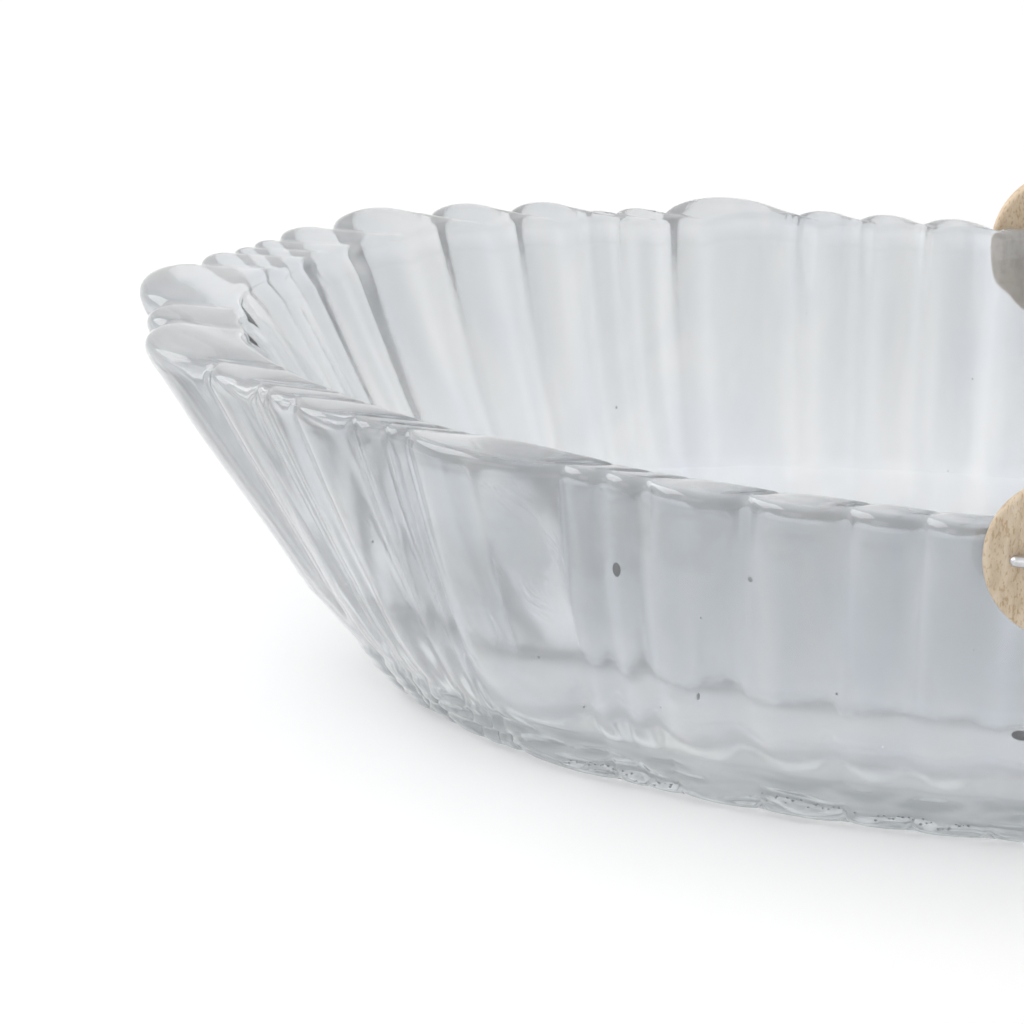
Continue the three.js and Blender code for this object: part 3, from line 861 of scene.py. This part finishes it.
def noise_at(tree, scale, detail=3.0, roughness=0.55, distortion=0.0):
    """Noise over the piece, with its scale along each axis in waves for each metre."""
    coordinates = tree.nodes.new("ShaderNodeTexCoord")
    mapping = tree.nodes.new("ShaderNodeMapping")
    mapping.inputs["Scale"].default_value = scale
    texture = tree.nodes.new("ShaderNodeTexNoise")
    texture.inputs["Scale"].default_value = 1.0
    texture.inputs["Detail"].default_value = detail
    texture.inputs["Roughness"].default_value = roughness
    texture.inputs["Distortion"].default_value = distortion
    tree.links.new(coordinates.outputs["Object"], mapping.inputs["Vector"])
    tree.links.new(mapping.outputs["Vector"], texture.inputs["Vector"])
    return texture.outputs["Fac"]


def ramp(tree, factor, *stops):
    node = tree.nodes.new("ShaderNodeValToRGB")
    elements = node.color_ramp.elements
    while len(elements) < len(stops):
        elements.new(0.5)
    for element, (place, colour) in zip(elements, stops):
        element.position = place
        element.color = (*colour, 1)
    tree.links.new(factor, node.inputs["Fac"])
    return node.outputs["Color"]


def patches(tree, noise_values, dark, light):
    """Colours from dark to light in the patches of a noise."""
    factor = noise_at(tree, *noise_values)
    return ramp(tree, factor, (DARK_PLACE, dark), (LIGHT_PLACE, light))


def times(tree, first, second):
    node = tree.nodes.new("ShaderNodeMix")
    node.data_type = "RGBA"
    node.blend_type = "MULTIPLY"
    node.inputs[MIX_FACTOR].default_value = 1.0
    tree.links.new(first, node.inputs[MIX_FIRST])
    tree.links.new(second, node.inputs[MIX_SECOND])
    return node.outputs[MIX_RESULT]


def bump(tree, shader, height, distance, strength):
    node = tree.nodes.new("ShaderNodeBump")
    node.inputs["Distance"].default_value = distance
    node.inputs["Strength"].default_value = strength
    tree.links.new(height, node.inputs["Height"])
    tree.links.new(node.outputs["Normal"], shader.inputs["Normal"])


def glass_material(name, roughness, clearness, coat, light, dark):
    """Streaked glass, deeper in colour where the bowl's tone is low, which holds painted shade as
    well as the tint of thick glass.
    """
    material, tree, shader = new_material(name)
    tint = patches(tree, GLASS_STREAKS, dark, light)
    # The bowl's tone: tint with painted shade and painted highlights
    tone = tree.nodes.new("ShaderNodeAttribute")
    tone.attribute_name = "tone"
    depth = ramp(tree, tone.outputs["Fac"], (0.0, DEEP_TINT_AND_SHADE), (1.0, CLEAR_TONE))
    tree.links.new(times(tree, tint, depth), shader.inputs["Base Color"])
    shader.inputs["Roughness"].default_value = roughness
    shader.inputs["IOR"].default_value = GLASS_IOR
    shader.inputs["Transmission Weight"].default_value = clearness
    shader.inputs["Coat Weight"].default_value = coat
    shader.inputs["Coat Roughness"].default_value = COAT_ROUGHNESS
    bump(tree, shader, noise_at(tree, *GLASS_RIPPLES), *GLASS_BUMP)
    return material


def painted_shade_bubble_material(name, dark, light):
    material, tree, shader = new_material(name)
    tree.links.new(patches(tree, PAINTED_SHADE_BUBBLE_PATCHES, dark, light), shader.inputs["Base Color"])
    shader.inputs["Roughness"].default_value = BUBBLE_ROUGHNESS
    shader.inputs["IOR"].default_value = BUBBLE_IOR
    return material


def wood_material(name, grain, pores, grain_tones):
    material, tree, shader = new_material(name)
    bands = ramp(tree, noise_at(tree, grain, *GRAIN_NOISE), *grain_tones)
    specks = ramp(tree, noise_at(tree, pores, *PORE_NOISE), *PORE_TONES)
    tree.links.new(times(tree, bands, specks), shader.inputs["Base Color"])
    shader.inputs["Roughness"].default_value = WOOD_ROUGHNESS
    bump(tree, shader, noise_at(tree, pores, *PORE_BUMP_NOISE), *WOOD_BUMP)
    return material


def steel_material():
    material, tree, shader = new_material("steel_wire")
    tone = patches(tree, STEEL_PATCHES, DARK_STEEL, LIGHT_STEEL)
    tree.links.new(tone, shader.inputs["Base Color"])
    shader.inputs["Metallic"].default_value = 1.0
    shader.inputs["Roughness"].default_value = STEEL_ROUGHNESS
    bump(tree, shader, noise_at(tree, *STEEL_LINES), *STEEL_BUMP)
    return material


def sleeve_material():
    material, tree, shader = new_material("clear_sleeve")
    tone = patches(tree, SLEEVE_PATCHES, DARK_SLEEVE, LIGHT_SLEEVE)
    tree.links.new(tone, shader.inputs["Base Color"])
    shader.inputs["Roughness"].default_value = SLEEVE_ROUGHNESS
    shader.inputs["Transmission Weight"].default_value = SLEEVE_CLEARNESS
    shader.inputs["IOR"].default_value = SLEEVE_IOR
    return material


glass_skins = [glass_material(*skin) for skin in GLASS_SKINS]
painted_shade_bubble_skins = [painted_shade_bubble_material(*skin) for skin in PAINTED_SHADE_BUBBLE_SKINS]
disc_wood = wood_material("light_wood", DISC_GRAIN, DISC_PORES, DISC_TONES)
# A lighter copy of the disc wood for the rear disc, painted light against its shade
rear_wood_painted_light = wood_material("rear_wood_painted_lighter", DISC_GRAIN, DISC_PORES, REAR_DISC_PAINTED_LIGHT_TONES)
grip_wood = wood_material("grip_wood", GRIP_GRAIN, GRIP_PORES, GRIP_TONES)
steel = steel_material()
silicone = sleeve_material()

bowl_piece = glass_bowl(glass_skins, painted_shade_bubble_skins)
front_disc = wood_disc("front_disc_wood", "front_end_disc", disc_wood)
rear_disc = wood_disc("rear_disc_wood", "rear_end_disc", rear_wood_painted_light)
front_sleeve = hole_sleeve("front_sleeve", "front_hole_sleeve", silicone)
rear_sleeve = hole_sleeve("rear_sleeve", "rear_hole_sleeve", silicone)
bail_piece = bail(steel)
grip_piece = grip(grip_wood)

for piece, body, node, slot_name in (
    (bowl_piece, "bowl", "glass_bowl", "clear_glass"),
    (front_disc, "bail", "front_end_disc", "light_wood"),
    (rear_disc, "bail", "rear_end_disc", "light_wood"),
    (front_sleeve, "bowl", "front_hole_sleeve", "silicone"),
    (rear_sleeve, "bowl", "rear_hole_sleeve", "silicone"),
    (bail_piece, "bail", "bail_wire", "steel_wire"),
    (grip_piece, "grip", "handle_grip", "light_wood"),
):
    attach(piece, body)
    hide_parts(node)

# Camera: a long lens a little above the rim, turned about its own axis
ELEVATION = math.radians(20)
ROLL = math.radians(5)
DISTANCE = 3500.0
PIXELS_PER_MM = 6.2
FRAME_PIXELS = 1024
RIM_CENTRE = Vector((0, 0, RIM_HEIGHT))
RIM_CENTRE_PIXEL = (1073, 380)
SENSOR = 36.0
CLIP = (0.1, 60)

# Studio, in metres and watts
FLOOR_GAP = -0.0004
FLOOR_HALF_SIZE = 8.0
FLOOR_COLOUR = (0.9, 0.9, 0.9, 1)
FLOOR_GLOW = 0.19
WHITE = (1, 1, 1, 1)
AMBIENT = 0.6
LAMP_AIM = (0, 0, 0.05)
# Name, place, size and power
LAMPS = (("key", (-1.3, 0.15, 1.3), 1.6, 17), ("fill", (-0.6, -1.5, 0.9), 1.2, 3))


def make_camera():
    data = bpy.data.cameras.new("camera")
    data.sensor_width = SENSOR
    data.lens = PIXELS_PER_MM * DISTANCE * SENSOR / FRAME_PIXELS
    data.clip_start, data.clip_end = CLIP
    forward = Vector((0, math.cos(ELEVATION), -math.sin(ELEVATION)))
    level = Vector((1, 0, 0))
    rise = Vector((0, math.sin(ELEVATION), math.cos(ELEVATION)))
    right = level * math.cos(ROLL) + rise * math.sin(ROLL)
    up = rise * math.cos(ROLL) - level * math.sin(ROLL)
    across = (RIM_CENTRE_PIXEL[0] - FRAME_PIXELS / 2) / PIXELS_PER_MM
    down = (RIM_CENTRE_PIXEL[1] - FRAME_PIXELS / 2) / PIXELS_PER_MM
    place = (RIM_CENTRE - right * across + up * down - forward * DISTANCE) * MM
    matrix = Matrix((right, up, -forward)).transposed().to_4x4()
    matrix.translation = place
    camera = bpy.data.objects.new("camera", data)
    camera.matrix_world = matrix
    bpy.context.scene.collection.objects.link(camera)
    bpy.context.scene.camera = camera


def seen_ray(tree):
    """A factor that is 1 for what the camera sees, also by way of metal and glass."""
    path = tree.nodes.new("ShaderNodeLightPath")
    shown = tree.nodes.new("ShaderNodeMath")
    shown.operation = "MAXIMUM"
    seen = tree.nodes.new("ShaderNodeMath")
    seen.operation = "MAXIMUM"
    tree.links.new(path.outputs["Is Camera Ray"], shown.inputs[0])
    tree.links.new(path.outputs["Is Glossy Ray"], shown.inputs[1])
    tree.links.new(shown.outputs[0], seen.inputs[0])
    tree.links.new(path.outputs["Is Transmission Ray"], seen.inputs[1])
    return seen.outputs[0]


def make_floor():
    corners = ((-1, -1), (1, -1), (1, 1), (-1, 1))
    points = [(x * FLOOR_HALF_SIZE, y * FLOOR_HALF_SIZE, FLOOR_GAP) for x, y in corners]
    material, tree, shader = new_material("floor")
    shader.inputs["Base Color"].default_value = FLOOR_COLOUR
    shader.inputs["Roughness"].default_value = 1.0
    shader.inputs["Specular IOR Level"].default_value = 0.0
    shader.inputs["Emission Color"].default_value = WHITE
    glow = tree.nodes.new("ShaderNodeMath")
    glow.operation = "MULTIPLY"
    glow.inputs[1].default_value = FLOOR_GLOW
    tree.links.new(seen_ray(tree), glow.inputs[0])
    tree.links.new(glow.outputs[0], shader.inputs["Emission Strength"])
    make_object("floor", make_mesh("floor", points, [(0, 1, 2, 3)]), material)


def area_light(name, place, size, power):
    data = bpy.data.lights.new(name, "AREA")
    data.size = size
    data.energy = power
    light = bpy.data.objects.new(name, data)
    light.location = place
    light.rotation_mode = "QUATERNION"
    light.rotation_quaternion = (Vector(LAMP_AIM) - Vector(place)).to_track_quat("-Z", "Y")
    bpy.context.scene.collection.objects.link(light)


def make_world():
    """White for what the camera sees, and a plain level of light for the rest."""
    world = bpy.data.worlds.new("studio")
    world.use_nodes = True
    tree = world.node_tree
    tree.nodes.clear()
    output = tree.nodes.new("ShaderNodeOutputWorld")
    white = tree.nodes.new("ShaderNodeBackground")
    white.inputs["Color"].default_value = WHITE
    ambient = tree.nodes.new("ShaderNodeBackground")
    ambient.inputs["Color"].default_value = WHITE
    ambient.inputs["Strength"].default_value = AMBIENT
    mix = tree.nodes.new("ShaderNodeMixShader")
    tree.links.new(seen_ray(tree), mix.inputs[0])
    tree.links.new(ambient.outputs[0], mix.inputs[1])
    tree.links.new(white.outputs[0], mix.inputs[2])
    tree.links.new(mix.outputs[0], output.inputs["Surface"])
    bpy.context.scene.world = world


make_camera()
make_floor()
make_world()
for lamp in LAMPS:
    area_light(*lamp)

bpy.context.scene.view_settings.view_transform = "Standard"
